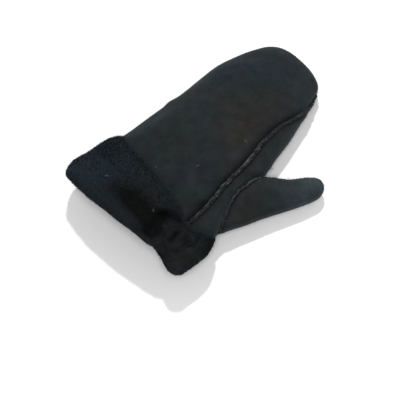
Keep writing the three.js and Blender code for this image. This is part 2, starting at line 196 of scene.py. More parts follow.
def track_through(rows, closed_start):
    """A smooth track through a table's rows, as a function of the row's number."""
    rows = np.array(rows, float)

    def beyond(row):
        turned = row.copy()
        turned[[LEFT, RIGHT, TOP, BOTTOM]] = row[[RIGHT, LEFT, BOTTOM, TOP]]
        return turned

    start = beyond(rows[1]) if closed_start else 2 * rows[0] - rows[1]
    padded = np.vstack([start, rows, beyond(rows[-2])])

    def at(t):
        t = np.asarray(t, float)
        i = np.clip(np.floor(t).astype(int), 0, len(rows) - 2)
        f = (t - i)[..., None]
        a, b, c, d = (padded[i + k] for k in range(4))
        slope, next_slope, rise = (c - a) / 2, (d - b) / 2, c - b
        square = 3 * rise - 2 * slope - next_slope
        return b + f * (slope + f * (square + f * (slope + next_slope - 2 * rise)))

    return at


hand_track = track_through(HAND_ROWS, False)
thumb_track = track_through(THUMB_ROWS, True)
HAND_TIP = len(HAND_ROWS) - 1
THUMB_TIP = len(THUMB_ROWS) - 1
HAND_SECTION = HAND_HALF_WIDTH, HAND_HEIGHT, HAND_GIRTH, HAND_SQUARENESS
THUMB_SECTION = THUMB_HALF_WIDTH, THUMB_HEIGHT, THUMB_GIRTH, THUMB_SQUARENESS
ALONG_HAND, UPWARDS = np.array([0.0, 1.0, 0.0]), np.array([0.0, 0.0, 1.0])


def grown(half, lift):
    """A half size that grows by the lift, or shrinks by it and never turns inside out."""
    inward = np.where(lift < 0, lift, -1.0)
    return np.where(lift < 0, half + inward * (1 - np.exp(half / inward)), half + lift)


def section_point(row, half_width, full_height, girth, squareness, degrees, lift):
    """A point round a section: how far across, how high."""
    angle = np.radians(degrees)
    bottom, top = row[..., BOTTOM] * full_height, row[..., TOP] * full_height
    widest = bottom + (top - bottom) * girth
    rise = grown(np.where(np.sin(angle) > 0, top - widest, widest - bottom), lift)
    middle = (row[..., LEFT] + row[..., RIGHT]) / 2 * half_width
    reach = grown((row[..., RIGHT] - row[..., LEFT]) / 2 * half_width, lift)
    height = widest + rise * signed_power(np.sin(angle), 2 / squareness)
    floor = np.minimum(np.maximum(-np.asarray(lift), 0), widest)
    return middle + reach * signed_power(np.cos(angle), 2 / squareness), np.maximum(height, floor)


def mouth_reach(along, degrees):
    """How far the wrist's edge stands out, fading along the hand."""
    outward = sum(share * bump(angle_between(degrees, at), reach) for at, reach, share in MOUTH_REACHES)
    share = clamp(along / MOUTH_FADE, 0, 1)
    return outward * CUFF_DEPTH * (1 - share) ** 2 * (1 + 2 * share)


def hand_surface(t, degrees, lift=0.0):
    """The hand's smooth form at row numbers and degrees round it, lifted outwards."""
    t, degrees, lift = np.broadcast_arrays(t, degrees, np.asarray(lift, float))
    row = hand_track(t)
    x, z = section_point(row, *HAND_SECTION, degrees, lift)
    y = row[..., ALONG] * (HAND_LENGTH + np.minimum(lift, GAP)) - ORIGIN_ALONG * HAND_LENGTH
    y = y - mouth_reach(row[..., ALONG], degrees)
    return np.stack([x, y, z], axis=-1)


THUMB_ROOT = np.array([THUMB_ROOT_X * HAND_HALF_WIDTH, THUMB_ROOT_Y * HAND_LENGTH, 0.0])
turn = math.radians(THUMB_TURN)
THUMB_FORWARD = np.array([math.sin(turn), math.cos(turn), 0.0])
THUMB_OUTWARD = np.array([math.cos(turn), -math.sin(turn), 0.0])


def thumb_surface(t, degrees, lift=0.0):
    t, degrees, lift = np.broadcast_arrays(t, degrees, np.asarray(lift, float))
    row = thumb_track(t)
    across, z = section_point(row, *THUMB_SECTION, degrees, lift)
    ahead = row[..., ALONG] * (THUMB_LENGTH + lift) - THUMB_ROOT_ALONG * THUMB_LENGTH
    flat = THUMB_ROOT + ahead[..., None] * THUMB_FORWARD + across[..., None] * THUMB_OUTWARD
    return flat + z[..., None] * UPWARDS


def normal_of(surface, tip, forward, t, degrees):
    t, degrees = np.broadcast_arrays(np.asarray(t, float), np.asarray(degrees, float))
    along = surface(t + 0.02, degrees) - surface(t - 0.02, degrees)
    around = surface(t, degrees + 0.5) - surface(t, degrees - 0.5)
    normal = unit(np.cross(along, around))
    normal[t >= tip - 1e-6] = forward
    return normal


def hand_normal(t, degrees):
    return normal_of(hand_surface, HAND_TIP, (0.0, 1.0, 0.0), t, degrees)


def thumb_normal(t, degrees):
    return normal_of(thumb_surface, THUMB_TIP, THUMB_FORWARD, t, degrees)


def dent_depth(dents, along, degrees):
    total = 0.0
    for at, centre, reach, reach_degrees, depth in dents:
        total = total + depth * bump(along - at, reach) * bump(angle_between(degrees, centre), reach_degrees)
    return total


def hand_point(t, degrees, lift=0.0):
    """The hand's form with its dents."""
    t, degrees = np.broadcast_arrays(np.asarray(t, float), np.asarray(degrees, float))
    along = hand_track(t)[..., ALONG]
    dent = dent_depth(HAND_DENTS, along, degrees) * HAND_HEIGHT * (1 - along**30)
    return hand_surface(t, degrees, lift) - hand_normal(t, degrees) * dent[..., None]


def rows_at(track, tip, along):
    """The row numbers at shares of the length, by halving."""
    low = np.zeros(np.shape(along))
    high = np.full(np.shape(along), float(tip))
    for _ in range(40):
        middle = (low + high) / 2
        short = track(middle)[..., ALONG] < along
        low, high = np.where(short, middle, low), np.where(short, high, middle)
    return high


def hand_row_at(y):
    return rows_at(hand_track, HAND_TIP, np.asarray(y) / HAND_LENGTH + ORIGIN_ALONG)


def even_rows(surface, tip, start, count, degrees=(10.0, 100.0, 190.0)):
    """Row numbers spaced evenly along the surface."""
    fine = np.linspace(start, tip, 1600)
    steps = 0.0
    for angle in degrees:
        points = surface(fine, angle)
        steps = steps + np.linalg.norm(np.diff(points, axis=0), axis=1)
    length = np.concatenate([[0], np.cumsum(steps)])
    return np.interp(np.linspace(0, length[-1], count), length, fine)


def resampled(path, step, closed=False):
    """A path's points at even steps, with anything that goes along with them."""
    path = np.asarray(path)
    if closed:
        path = np.vstack([path, path[:1]])
    length = np.concatenate([[0], np.cumsum(np.linalg.norm(np.diff(path[:, :3], axis=0), axis=1))])
    count = max(int(length[-1] / step), 4)
    at = np.linspace(0, length[-1], count + 1)
    if closed:
        at = at[:-1]
    return np.stack([np.interp(at, length, path[:, k]) for k in range(path.shape[1])], axis=1)


def smoothed(values, passes, closed=False):
    for _ in range(passes):
        before, after = np.roll(values, 1, axis=0), np.roll(values, -1, axis=0)
        if not closed:
            before[0], after[-1] = values[0], values[-1]
        values = (before + 2 * values + after) / 4
    return values


def mesh_object(name, points, faces, materials, tone=None, face_materials=None, warmth=None):
    """A mesh from arrays, in metres, with a tone and a warmth for each point where it has them."""
    faces = np.asarray(faces)
    mesh = bpy.data.meshes.new(name)
    sides = faces.shape[1]
    mesh.vertices.add(len(points))
    mesh.vertices.foreach_set("co", (np.asarray(points) * MM).ravel())
    mesh.loops.add(faces.size)
    mesh.loops.foreach_set("vertex_index", faces.ravel())
    mesh.polygons.add(len(faces))
    mesh.polygons.foreach_set("loop_start", np.arange(0, faces.size, sides))
    if face_materials is not None:
        mesh.polygons.foreach_set("material_index", face_materials)
    mesh.polygons.foreach_set("use_smooth", np.ones(len(faces), bool))
    mesh.update(calc_edges=True)
    mesh.validate()
    for key, values in (("tone", tone), ("warmth", warmth)):
        if values is not None:
            layer = mesh.attributes.new(key, "FLOAT", "POINT")
            layer.data.foreach_set("value", np.asarray(values, float))
    for material in materials:
        mesh.materials.append(material)
    piece = bpy.data.objects.new(name, mesh)
    bpy.context.collection.objects.link(piece)
    return piece


def grid_faces(rows, columns, closed_columns=False, closed_rows=False):
    i, k = np.meshgrid(
        np.arange(rows if closed_rows else rows - 1),
        np.arange(columns if closed_columns else columns - 1),
        indexing="ij",
    )
    j, m = (i + 1) % rows, (k + 1) % columns
    quads = [i * columns + k, i * columns + m, j * columns + m, j * columns + k]
    return np.stack([q.ravel() for q in quads], axis=1)


def distance_to(path, points):
    tree = kdtree.KDTree(len(path))
    for i, p in enumerate(path[:, :3]):
        tree.insert(p, i)
    tree.balance()
    flat = points.reshape(-1, 3)
    return np.array([tree.find(p)[2] for p in flat]).reshape(points.shape[:-1])


def add_piece(piece, slot, *nodes):
    """A piece of the mitten, and the solids that it stands in for."""
    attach(piece, "root")
    if nodes:
        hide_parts(*nodes)
    return piece


# Materials


class Shader:
    """A material's node tree with short calls for the nodes used here."""

    def __init__(self, name):
        self.material = bpy.data.materials.new(name)
        self.material.use_nodes = True
        self.tree = self.material.node_tree
        self.principled = self.tree.nodes["Principled BSDF"]
        self.place = self.tree.nodes.new("ShaderNodeTexCoord").outputs["Object"]

    def node(self, kind, **settings):
        node = self.tree.nodes.new(kind)
        for key, value in settings.items():
            setattr(node, key, value)
        return node

    def link(self, output, socket):
        self.tree.links.new(output, socket)

    def noise(self, size_mm, detail=2.0, roughness=0.5, distortion=0.0):
        node = self.node("ShaderNodeTexNoise")
        values = 1.0 / (size_mm * MM), detail, roughness, distortion
        for key, value in zip(("Scale", "Detail", "Roughness", "Distortion"), values):
            node.inputs[key].default_value = value
        self.link(self.place, node.inputs["Vector"])
        return node.outputs["Fac"]

    def ramp(self, value, stops):
        node = self.node("ShaderNodeValToRGB")
        ramp = node.color_ramp
        while len(ramp.elements) < len(stops):
            ramp.elements.new(0.5)
        for element, (position, colour) in zip(ramp.elements, stops):
            element.position = position
            element.color = (*colour, 1.0)
        self.link(value, node.inputs["Fac"])
        return node.outputs["Color"]

    def shades(self, value, stops):
        """A ramp of greys."""
        return self.ramp(value, [(position, (grey, grey, grey)) for position, grey in stops])

    def mix(self, kind, a, b):
        node = self.node("ShaderNodeMix", data_type="RGBA", blend_type=kind)
        node.inputs[0].default_value = 1.0
        self.link(a, node.inputs[6])
        self.link(b, node.inputs[7])
        return node.outputs[2]

    def times(self, colour, *others):
        for other in others:
            colour = self.mix("MULTIPLY", colour, other)
        return colour

    def bumps(self, layers):
        """Bump from (height, strength, depth in mm) layers, one over another."""
        normal = None
        for height, strength, depth in layers:
            node = self.node("ShaderNodeBump")
            node.inputs["Strength"].default_value = strength
            node.inputs["Distance"].default_value = depth * MM
            self.link(height, node.inputs["Height"])
            if normal is not None:
                self.link(normal, node.inputs["Normal"])
            normal = node.outputs["Normal"]
        self.link(normal, self.principled.inputs["Normal"])

    def attribute(self, name):
        node = self.node("ShaderNodeAttribute", attribute_name=name)
        return node.outputs["Fac"]

    def set(self, **values):
        for key, value in values.items():
            socket = self.principled.inputs[key.replace("_", " ").title().replace("Ior", "IOR")]
            socket.default_value = value

    def colour(self, output):
        self.link(output, self.principled.inputs["Base Color"])


def suede_material():
    """Black suede: a mottled nap with bluish, greenish and brownish patches."""
    s = Shader("black_suede")
    patches = s.ramp(s.attribute("warmth"), [
        (0.15, (0.0085, 0.0113, 0.0160)),
        (0.5, (0.0114, 0.0134, 0.0146)),
        (0.85, (0.0160, 0.0138, 0.0130)),
    ])
    green = s.ramp(s.noise(27, 2, 0.5), [(0.42, (1.0, 1.0, 1.0)), (0.66, (0.88, 1.10, 1.0))])
    clouds = s.shades(s.noise(11, 3, 0.6), [(0.25, 0.70), (0.75, 1.32)])
    nap = s.shades(s.noise(0.9, 3, 0.7), [(0.3, 0.72), (0.7, 1.30)])
    flecks = s.ramp(s.noise(0.55, 1, 0.5), [(0.72, (0.0, 0.0, 0.0)), (0.80, (0.02, 0.021, 0.022))])
    colour = s.mix("ADD", s.times(patches, green, clouds, nap), flecks)
    # Times the tone: the nap's paler spots and the painted shade beside the seams, by the thumb and along
    # the wool's free edge
    s.colour(s.times(colour, s.shades(s.attribute("tone"), [(0.0, 0.0), (1.0, 2 * PALEST)])))
    s.set(roughness=0.92, sheen_weight=0.10, sheen_roughness=0.5, sheen_tint=(0.55, 0.72, 0.85, 1.0))
    s.set(specular_ior_level=0.12)
    s.bumps([
        (s.noise(7.0, 3, 0.6), 0.35, 0.9),
        (s.noise(1.6, 3, 0.65), 0.35, 0.25),
        (s.noise(0.45, 2, 0.7), 0.5, 0.12),
    ])
    return s.material


def lining_material():
    """Black wool pressed flat on the hide's inner side."""
    s = Shader("black_wool_lining")
    s.colour(s.ramp(s.noise(2.4, 4, 0.7), [(0.3, (0.004, 0.005, 0.006)), (0.7, (0.016, 0.018, 0.020))]))
    s.set(roughness=0.95, sheen_weight=0.3, sheen_roughness=0.5, specular_ior_level=0.1)
    s.bumps([(s.noise(3.0, 3, 0.7, 1.0), 0.8, 1.6), (s.noise(0.8, 2, 0.7), 0.6, 0.5)])
    return s.material


def wool_material():
    """Sheared black wool: a blue-black pile that is browner where it is crushed."""
    s = Shader("black_wool_pile")
    base = s.ramp(s.attribute("warmth"), [
        (0.1, (0.0125, 0.0205, 0.0275)),
        (0.5, (0.0165, 0.0220, 0.0265)),
        (0.9, (0.0235, 0.0250, 0.0252)),
    ])
    # The tone brings painted shade in the folds' hollows and inside the mouth, and painted highlight on the
    # puffs, the lit upper left and the free edge
    s.colour(s.times(base, s.shades(s.attribute("tone"), [(0.0, 0.0), (0.5, 1.0), (1.0, 2.9)])))
    s.set(roughness=0.85, sheen_weight=0.06, sheen_roughness=0.4, sheen_tint=(0.45, 0.68, 0.90, 1.0))
    s.set(specular_ior_level=0.1)
    s.bumps([(s.noise(2.4, 2, 0.6), 0.25, 0.4)])
    return s.material


def seam_material():
    """The raw edges of the hide, paler than its nap, with wool and pale grain in them."""
    s = Shader("raw_hide_edge")
    # The tone brings paler crests and spots, and painted shade down the ridges' sides and where the hand's
    # seam leaves the cuff
    base = s.ramp(s.attribute("tone"), [
        (0.1, (0.0035, 0.0048, 0.0052)),
        (0.45, (0.012, 0.0145, 0.0150)),
        (0.95, (0.056, 0.062, 0.063)),
    ])
    s.colour(s.times(base, s.shades(s.noise(3.2, 3, 0.7), [(0.35, 0.55), (0.65, 1.35)])))
    s.set(roughness=0.9, sheen_weight=0.15, sheen_roughness=0.5, specular_ior_level=0.12)
    s.bumps([(s.noise(2.2, 3, 0.6), 0.6, 0.5)])
    return s.material


def thread_material():
    s = Shader("overcast_thread")
    s.colour(s.ramp(s.noise(0.8, 2, 0.6), [(0.3, (0.008, 0.010, 0.011)), (0.7, (0.028, 0.031, 0.032))]))
    s.set(roughness=0.8, sheen_weight=0.1, specular_ior_level=0.15)
    s.bumps([(s.noise(0.3, 1, 0.5), 0.5, 0.1)])
    return s.material


def fibre_material():
    """Pale fibres: fleeces of wool in the seams and a few bits of lint."""
    s = Shader("pale_fibre")
    s.colour(s.ramp(s.attribute("tone"), [(0.0, (0.012, 0.014, 0.015)), (1.0, (0.13, 0.14, 0.14))]))
    s.set(roughness=0.8, specular_ior_level=0.2)
    return s.material


# The palest that the suede's tone goes, at its paler spots: its tone is stored as a share of this
PALEST = 1.3

SUEDE = suede_material()
LINING = lining_material()
WOOL = wool_material()
SEAM = seam_material()
THREAD = thread_material()
FIBRE = fibre_material()


# Seam lines


def cuff_edge_row(degrees):
    """The hand's row under the cuff's free edge."""
    lobe = LOBE_LENGTH * bump(angle_between(degrees, LOBE_DEGREES), LOBE_REACH)
    drawn = SEAM_DRAWN * bump(angle_between(degrees, SEAM_DEGREES), SEAM_REACH)
    reach = CUFF_DEPTH - CUFF_SLANT * np.cos(np.radians(degrees)) + lobe - drawn
    return hand_row_at(-ORIGIN_ALONG * HAND_LENGTH + reach)


SEAM_START = 1.36  # the hand's row where the seam comes out from under the cuff


def over_tip(sides, step):
    """One path up one side, over the tip and back along the other."""
    path = resampled(np.vstack([sides[0], sides[1][::-1][1:]]), step)
    path[:, 3:] = unit(smoothed(path[:, 3:], 8))
    return path


def hand_seam_line():
    """Points and outward normals of the seam, from the cuff over the tip and back underneath."""
    t = even_rows(hand_surface, HAND_TIP, SEAM_START, 900)
    sides = []
    for edge in (EDGE, UNDER_EDGE):
        degrees = hand_track(t)[:, edge]
        sides.append(np.hstack([hand_point(t, degrees), hand_normal(t, degrees)]))
    return over_tip(sides, 0.6)


def section_depth(row, half_width, full_height, girth, squareness, across, height):
    """Under 1 inside a section's outline, over 1 outside it."""
    low, high = row[..., LEFT] * half_width, row[..., RIGHT] * half_width
    bottom, top = row[..., BOTTOM] * full_height, row[..., TOP] * full_height
    widest = bottom + (top - bottom) * girth
    across = (across - (low + high) / 2) / np.maximum((high - low) / 2, 0.1)
    up = height - widest
    up = up / np.maximum(np.where(up > 0, top - widest, widest - bottom), 0.1)
    return np.abs(across) ** squareness + np.abs(up) ** squareness


def hand_depth(points):
    """Under 1 inside the hand's outer face, over 1 outside it."""
    row = hand_track(hand_row_at(points[..., 1]))
    return section_depth(row, *HAND_SECTION, points[..., 0], points[..., 2])


def hand_outward(points):
    row = hand_track(hand_row_at(points[..., 1]))
    middle = (row[..., LEFT] + row[..., RIGHT]) / 2 * HAND_HALF_WIDTH
    level = (row[..., BOTTOM] + (row[..., TOP] - row[..., BOTTOM]) * HAND_GIRTH) * HAND_HEIGHT
    out = (points[..., 0] - middle) / HAND_HALF_WIDTH**2
    up = (points[..., 2] - level) / (HAND_HEIGHT / 2) ** 2
    return unit(np.stack([out, np.zeros_like(out), up], axis=-1))


def thumb_exits(degrees_at, count):
    """The rows where lines along the thumb leave the hand."""
    low, high = np.full(count, 1.0), np.full(count, THUMB_TIP - 1.0)
    for _ in range(40):
        middle = (low + high) / 2
        inside = hand_depth(thumb_surface(middle, degrees_at(middle))) < 1
        low, high = np.where(inside, middle, low), np.where(inside, high, middle)
    return high


def thumb_base_line():
    """Points and outward normals of the seam where the thumb leaves the hand."""
    degrees = np.linspace(0, 360, 361)[:-1]
    t = thumb_exits(lambda _: degrees, len(degrees))
    points = thumb_surface(t, degrees)
    corner = unit(thumb_normal(t, degrees) + hand_outward(points))
    path = resampled(np.hstack([points, corner]), 0.8, closed=True)
    path[:, :3] = smoothed(path[:, :3], 6, closed=True)
    path[:, 3:] = unit(smoothed(path[:, 3:], 8, closed=True))
    return path


def thumb_edge_line():
    """Points and outward normals of the seam over the thumb's tip and back underneath."""
    sides = []
    for edge in (EDGE, UNDER_EDGE):
        exit_row = thumb_exits(lambda t, e=edge: thumb_track(t)[:, e], 1)[0]
        t = even_rows(thumb_surface, THUMB_TIP, exit_row, 500)
        degrees = thumb_track(t)[:, edge]
        sides.append(np.hstack([thumb_surface(t, degrees), thumb_normal(t, degrees)]))
    return over_tip(sides, 0.8)


HAND_SEAM = hand_seam_line()
THUMB_BASE = thumb_base_line()
THUMB_EDGE = thumb_edge_line()


def free_edge_line():
    """Where the cuff's free edge lies on the suede."""
    degrees = np.arange(0.0, 360.0, 1.0)
    return hand_point(cuff_edge_row(degrees), degrees)


FREE_EDGE = free_edge_line()


# Panels


# Spots where the suede's tone changes: paler towards the thumb's tip and in broad patches, a little darker
# in others, and painted shade in the crease where the thumb meets the hand and in the dent beside the seam
# by the cuff: place, reach, change of tone
NAP_AND_SHADE_SPOTS = [
    [(112, 60, 20), 36, 0.80],
    [(88, 4, 28), 20, -0.06],
    [(64, 17, 34), 3.2, -0.20],
    [(66, 22, 31.5), 3.2, -0.24],
    [(67, 27, 28), 3.2, -0.24],
    [(10, 140, 28), 36, 0.10],
    [(-45, 60, 30), 30, 0.10],
    [(54, -53, 48), 8, -0.22],
    [(59, -45, 46), 6, -0.15],
    [(-25, -30, 50), 34, -0.06],
]


PUCKER_DEPTH, PUCKER_PITCH = 0.28, 6.3


def pinch(distance, depth, reach, puff, position):
    """How far a panel is drawn in beside a seam, with the stitches' small puckers."""
    pulled = depth * bump(distance, reach)
    beyond = puff * bump(distance - 2.6 * reach, 1.6 * reach)
    puckers = PUCKER_DEPTH * np.sin(position * (2 * math.pi / PUCKER_PITCH)) * bump(distance, 1.5 * reach)
    return pulled - beyond + puckers


def panel_relief(points):
    """The nap's unevenness and soft buckles, in millimetres inwards."""
    stretched = points * np.array([1.0, 0.6, 1.0])
    buckles = 0.9 * soft_noise(stretched, 46, 11)
    return layered(points, [(0.45, 19, 12), (0.16, 7, 13), (0.06, 2.6, 14)], buckles)


def rested(points, height=0.0):
    """Nothing passes the floor, or a height over it."""
    points[..., 2] = np.maximum(points[..., 2], height)
    return points


def shell(name, outer, inner, keep, tone):
    """A closed wall between two grids of points, without the cells that keep leaves out."""
    rows, columns = outer.shape[:2]
    count = rows * columns
    keep = keep.copy()
    keep[-1, :] = True
    cells = grid_faces(rows, columns)
    kept = np.all(keep.ravel()[cells], axis=1)
    outside = cells[kept]
    edges = {}
    for face in outside:
        for a, b in zip(face, np.roll(face, -1)):
            if (b, a) in edges:
                del edges[(b, a)]
            else:
                edges[(a, b)] = True
    rim = np.array([[b, a, a + count, b + count] for a, b in edges])
    faces = np.vstack([outside, outside[:, ::-1] + count, rim])
    points = np.vstack([outer.reshape(-1, 3), inner.reshape(-1, 3)])
    slots = np.concatenate([np.zeros(len(outside)), np.ones(len(outside)), np.ones(len(rim))]).astype(int)
    used = np.unique(faces)
    renumber = np.zeros(len(points), int)
    renumber[used] = np.arange(len(used))
    tones = np.concatenate([tone.ravel(), tone.ravel()])[used]
    warmth = suede_warmth(points[used])
    return mesh_object(name, points[used], renumber[faces], [SUEDE, LINING], tones, slots, warmth)


# Patches of the dye: place, reach, warmer or colder
DYED = [
    [(5, 70, 46), 30, 0.30],
    [(30, 40, 46), 26, 0.24],
    [(-35, 90, 38), 34, -0.30],
    [(0, 130, 38), 22, -0.16],
    [(-30, -30, 50), 40, -0.12],
    [(85, 0, 30), 22, 0.12],
]


def near(points, spots):
    """The sum of what spots of (place, reach, amount) bring at each point."""
    total = np.zeros(points.shape[:-1])
    for place, reach, amount in spots:
        total = total + amount * np.exp(-np.sum((points - np.array(place)) ** 2, axis=-1) / reach**2)
    return total


def suede_warmth(points):
    """From a blue black at 0 to a brown one at 1."""
    return clamp(0.5 + near(points, DYED) + 0.2 * soft_noise(points, 24, 23), 0, 1)


def nap_tone_and_painted_shade(points, shades):
    """The suede's tone: painted shade beside the lines of (line, reach, depth), then spots of paler nap and
    painted crease shade.
    """
    tone = layered(points, [(0.05, 30, 21), (0.035, 5, 22)], 0.5)
    for line, reach, depth in shades:
        tone = tone - depth * bump(distance_to(line, points), reach)
    return clamp(tone + near(points, NAP_AND_SHADE_SPOTS), 0.05, PALEST) / PALEST


FAR_OUTSIDE = 9.0  # the depth given to points beyond the thumb's ends


def thumb_depth(points):
    """Under 1 inside the thumb's outer face, over 1 outside it."""
    offset = points - THUMB_ROOT
    along = (offset @ THUMB_FORWARD) / THUMB_LENGTH + THUMB_ROOT_ALONG
    row = thumb_track(rows_at(thumb_track, THUMB_TIP, clamp(along, 0.0, 1.0)))
    depth = section_depth(row, *THUMB_SECTION, offset @ THUMB_OUTWARD, points[..., 2])
    return np.where((along < 0) | (along > 1), FAR_OUTSIDE, depth)


def edge_of(track, edge, turned=0):
    """A panel's edge in degrees, as a function of the row."""
    return lambda t: track(t)[:, edge] + turned


# What the panels lie on: surface, normals, tip, relief outside, its share inside, and painted shade along
# the wool's free edge, besides the seams' painted shade
HAND_FORM = hand_point, hand_normal, HAND_TIP, 1.0, 0.8, [(FREE_EDGE, 11.0, 0.11)]
THUMB_FORM = thumb_surface, thumb_normal, THUMB_TIP, 0.6, 0.7, []
TIP_FADE = 1.5  # rows before the tip over which the relief fades out
# Their seams: line, (how deep the suede is drawn in, how far, how much it puffs up beyond), the reach and
# depth of the painted shade in the crease beside it
BACK_EDGE = HAND_SEAM, (3.0, 3.4, 0.7), 6.12, 0.46
PALM_EDGE = HAND_SEAM, (1.8, 2.4, 0.7), 4.32, 0.36
THUMB_HOLE = THUMB_BASE, (0.9, 2.4, 0.3), 2.0, 0.15
THUMB_FOOT = THUMB_BASE, (1.8, 3.0, 0.5), 3.4, 0.32
THUMB_SIDE = THUMB_EDGE, (0.8, 2.2, 0.3), 2.0, 0.15
hand_edges = edge_of(hand_track, EDGE), edge_of(hand_track, UNDER_EDGE), edge_of(hand_track, EDGE, 360)
thumb_edges = edge_of(thumb_track, EDGE), edge_of(thumb_track, UNDER_EDGE), edge_of(thumb_track, EDGE, 360)
hand_rows = even_rows(hand_surface, HAND_TIP, 0.0, 170)
thumb_rows = even_rows(thumb_surface, THUMB_TIP, 0.4, 110, (0.0, 90.0, 180.0))
# Each panel: node, form, rows, columns, edges, seams, what cuts it and how deep: 1 is that one's outer face
PANELS = [
    ("back_panel", HAND_FORM, hand_rows, 130, hand_edges[:2], (BACK_EDGE, THUMB_HOLE), None, 0),
    ("palm_panel", HAND_FORM, hand_rows, 130, hand_edges[1:], (PALM_EDGE, THUMB_HOLE), thumb_depth, 0.9),
    ("thumb_outer", THUMB_FORM, thumb_rows, 90, thumb_edges[1:], (THUMB_SIDE, THUMB_FOOT), hand_depth, 0.93),
    ("thumb_inner", THUMB_FORM, thumb_rows, 36, thumb_edges[:2], (THUMB_SIDE, THUMB_FOOT), hand_depth, 0.93),
]


def panel(node, form, t, columns, edges, seams, cut_by, cut_depth):
    """A panel between two edges, drawn in beside its seams and given painted shade there."""
    surface, normal, tip, relief, inside, shades = form
    share = np.linspace(0, 1, columns)
    degrees = edges[0](t)[:, None] * (1 - share) + edges[1](t)[:, None] * share
    t = t[:, None] * np.ones(columns)
    points, normals = surface(t, degrees), normal(t, degrees)
    inward = panel_relief(points) * relief * np.clip((tip - t) / TIP_FADE, 0, 1)
    for line, pinched, *_ in seams:
        inward = inward + pinch(distance_to(line, points), *pinched, points[..., 1])
    outer = rested(points - normals * inward[..., None])
    inner = surface(t, degrees, -WALL) - normals * (inward * inside)[..., None]
    outer[-1], inner[-1] = outer[-1].mean(axis=0), inner[-1].mean(axis=0)
    keep = cut_by(points) > cut_depth if cut_by else np.ones(t.shape, bool)
    # Painted shade beside the seams and along the wool's free edge, with the nap's paler spots
    tone = nap_tone_and_painted_shade(points, [(line, reach, depth) for line, _, reach, depth in seams] + shades)
    return shell(node + "_suede", outer, inner, keep, tone)


for row in PANELS:
    add_piece(panel(*row), "suede", row[0])


# Raised seams

# The outline of two raw edges side by side, as shares of the ridge's width and height
LIPS = np.array([
    [-0.48, -0.45], [-0.52, 0.05], [-0.50, 0.45], [-0.43, 0.78], [-0.32, 0.95], [-0.20, 1.00], [-0.10, 0.93],
    [-0.02, 0.86], [0.07, 0.90], [0.17, 0.96], [0.29, 0.93], [0.40, 0.78], [0.48, 0.48], [0.51, 0.05],
    [0.47, -0.45],
])


def side_of(path, closed):
    """Sideways from a path, along the surface."""
    points = path[:, :3]
    before, after = np.roll(points, 1, axis=0), np.roll(points, -1, axis=0)
    if not closed:
        before[0], after[-1] = points[0], points[-1]
    return unit(np.cross(after - before, path[:, 3:]))


# Where the raw edges are paler or darker: paler along the seam's middle, painted shade where it comes out
# from
# under the cuff, darker towards the tip: place, reach, how much
SEAM_WEAR_AND_SHADE = [
    [(62, 20, 42), 34, 0.26],
    [(60, -34, 42), 22, 0.12],
    [(66, -20, 38), 14, 0.12],
    [(66, -70, 43), 10, -0.60],
    [(38, 96, 34), 34, -0.25],
]


MEAN_WEAR_AND_SHADE = 0.62
UNWORN_FULL, WORN_FULLER = 0.72, 0.35  # how full a ridge is, and how much fuller by its wear
END_TAPER, END_FULL = 7.0, 0.35  # an open ridge's ends grow over this length, from this share


def ridge(name, path, width, height, sink, closed, seed):
    """Two raw edges side by side, uneven along their length."""
    side = side_of(path, closed)
    count = len(path)
    step = np.linalg.norm(path[1, :3] - path[0, :3])
    line = np.stack([np.arange(count) * step, np.zeros(count), np.zeros(count)], axis=1)
    nubs = [
        layered(line, [(0.7, 4.6, seed + lip), (0.35, 2.0, seed + 7 + lip)], 0.5)
        for lip in (1, 2)
    ]
    sway = layered(line, [(0.20, 8.0, seed + 5), (0.10, 2.5, seed + 6)])
    wear_and_shade = MEAN_WEAR_AND_SHADE + near(path[:, :3], SEAM_WEAR_AND_SHADE) + 0.2 * soft_noise(line, 15.0, seed + 8)
    full = UNWORN_FULL + WORN_FULLER * wear_and_shade
    if not closed:
        to_end = np.minimum(line[:, 0], line[::-1, 0])
        full = full * clamp(to_end / END_TAPER, END_FULL, 1)
    rings, tones = [], []
    for k, (across, up) in enumerate(LIPS):
        nub = nubs[0] if across < 0 else nubs[1]
        swell = full * (0.7 + 0.5 * nub + 0.07 * soft_noise(line, 1.6, seed + 10 + k))
        offset = side * ((across * full * (0.8 + 0.4 * nub) + sway) * width)[:, None]
        rings.append(path[:, :3] + offset + path[:, 3:] * (up * height * swell - sink)[:, None])
        # Paler at each lip's crest and darker down its sides: painted shade where the ridge meets the suede,
        # times the seam's paler spots and painted shade
        shade = (0.2 + 0.8 * nub) * (0.2 + 0.8 * max(up, 0)) * wear_and_shade
        tones.append(clamp(shade + 0.05 * soft_noise(line, 1.5, seed + 50 + k), 0, 1))
    points = rested(np.stack(rings, axis=1))
    faces = grid_faces(count, len(LIPS), closed_columns=True, closed_rows=closed)
    return mesh_object(name, points.reshape(-1, 3), faces, [SEAM], tone=np.stack(tones, axis=1).ravel())


OFF_AXIS = np.array([0.31, 0.52, 0.79])  # a direction that no stitch follows


def tube(points, radius, sides):
    """Rings of points round a line, with their faces."""
    points = np.asarray(points)
    forward = unit(np.gradient(points, axis=0))
    side = unit(np.cross(forward, OFF_AXIS))
    up = np.cross(forward, side)
    angles = np.linspace(0, 2 * math.pi, sides, endpoint=False)
    rings = points[:, None] + radius * (
        np.cos(angles)[None, :, None] * side[:, None] + np.sin(angles)[None, :, None] * up[:, None]
    )
    return rings.reshape(-1, 3), grid_faces(len(points), sides, closed_columns=True)


STITCH_POINTS, STITCH_SIDES = 9, 6
STITCH_ARC = (205, -25)  # degrees over the ridge, from foot to foot
STITCH_SLANT = 0.9  # how far each half leans along the seam
STITCH_REACH = 0.60  # from the middle to a foot, as a share of the ridge's width
STITCH_UNEVEN = 0.16


